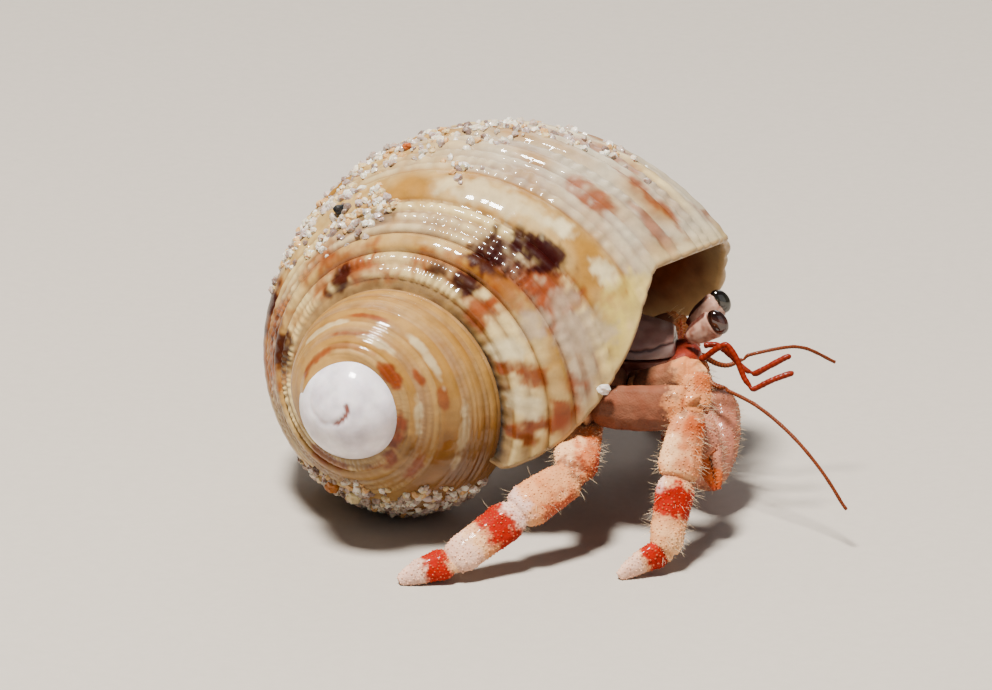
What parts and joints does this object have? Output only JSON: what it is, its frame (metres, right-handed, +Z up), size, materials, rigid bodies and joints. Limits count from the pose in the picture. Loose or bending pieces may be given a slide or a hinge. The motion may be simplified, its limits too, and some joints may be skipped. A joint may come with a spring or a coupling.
{
  "type": "hermit crab",
  "caption": "Life-size still model of a young strawberry land hermit crab walking in a ribbed, worn turban shell, eyes raised and feelers out.",
  "frame": {"origin": "middle of the footprint's box, on the ground that the toes and the shell stand on", "axes": "+X ahead of the crab, +Y to its left, +Z up"},
  "size_m": [0.0374, 0.032, 0.0237],
  "materials": {
    "shell": "wet, worn turban shell: tan and cream spiral cords with brown patches and a white apex",
    "carapace": "grey-pink shield and chest, damp",
    "abdomen": "soft, fleshy, damp skin",
    "leg": "cream-pink and orange, granulated, with red patches at the joints",
    "claw": "orange and cream, granulated, with pale finger tips",
    "eyestalk": "pale pink-white, smooth, with a reddish-brown base",
    "cornea": "dark brown, wet gloss",
    "feeler": "orange-red, finely ringed"
  },
  "bodies": {
    "root": {"shell": "shell", "carapace_shield": "carapace", "chest": "carapace", "carapace_rear": "carapace", "abdomen_front": "abdomen", "abdomen_middle": "abdomen", "abdomen_tip": "abdomen", "leg2_right_base": "leg", "leg2_right_merus": "leg", "leg2_right_carpus": "leg", "leg2_right_propodus": "leg", "leg2_right_dactyl": "leg", "leg3_right_base": "leg", "leg3_right_merus": "leg", "leg3_right_carpus": "leg", "leg3_right_propodus": "leg", "leg3_right_dactyl": "leg", "leg2_left_base": "leg", "leg2_left_merus": "leg", "leg2_left_carpus": "leg", "leg2_left_propodus": "leg", "leg2_left_dactyl": "leg", "leg3_left_base": "leg", "leg3_left_merus": "leg", "leg3_left_carpus": "leg", "leg3_left_propodus": "leg", "leg3_left_dactyl": "leg", "cheliped_right_base": "claw", "cheliped_right_merus": "claw", "cheliped_right_carpus": "claw", "cheliped_right_palm": "claw", "cheliped_right_finger": "claw", "cheliped_left_base": "claw", "cheliped_left_merus": "claw", "cheliped_left_carpus": "claw", "cheliped_left_palm": "claw", "cheliped_left_finger": "claw", "leg4_right": "leg", "leg4_left": "leg", "leg5_right": "leg", "leg5_left": "leg", "head_front": "carapace", "eye_right": "cornea", "eyestalk_right": "eyestalk", "eye_left": "cornea", "eyestalk_left": "eyestalk", "antennule_stem_right": "feeler", "antennule_whip_right": "feeler", "antennule_stem_left": "feeler", "antennule_whip_left": "feeler", "antenna_stem_right": "feeler", "antenna_whip_right": "feeler", "antenna_stem_left": "feeler", "antenna_whip_left": "feeler", "mouthpart_right": "carapace", "mouthpart_left": "carapace"}
  },
  "joints": []
}
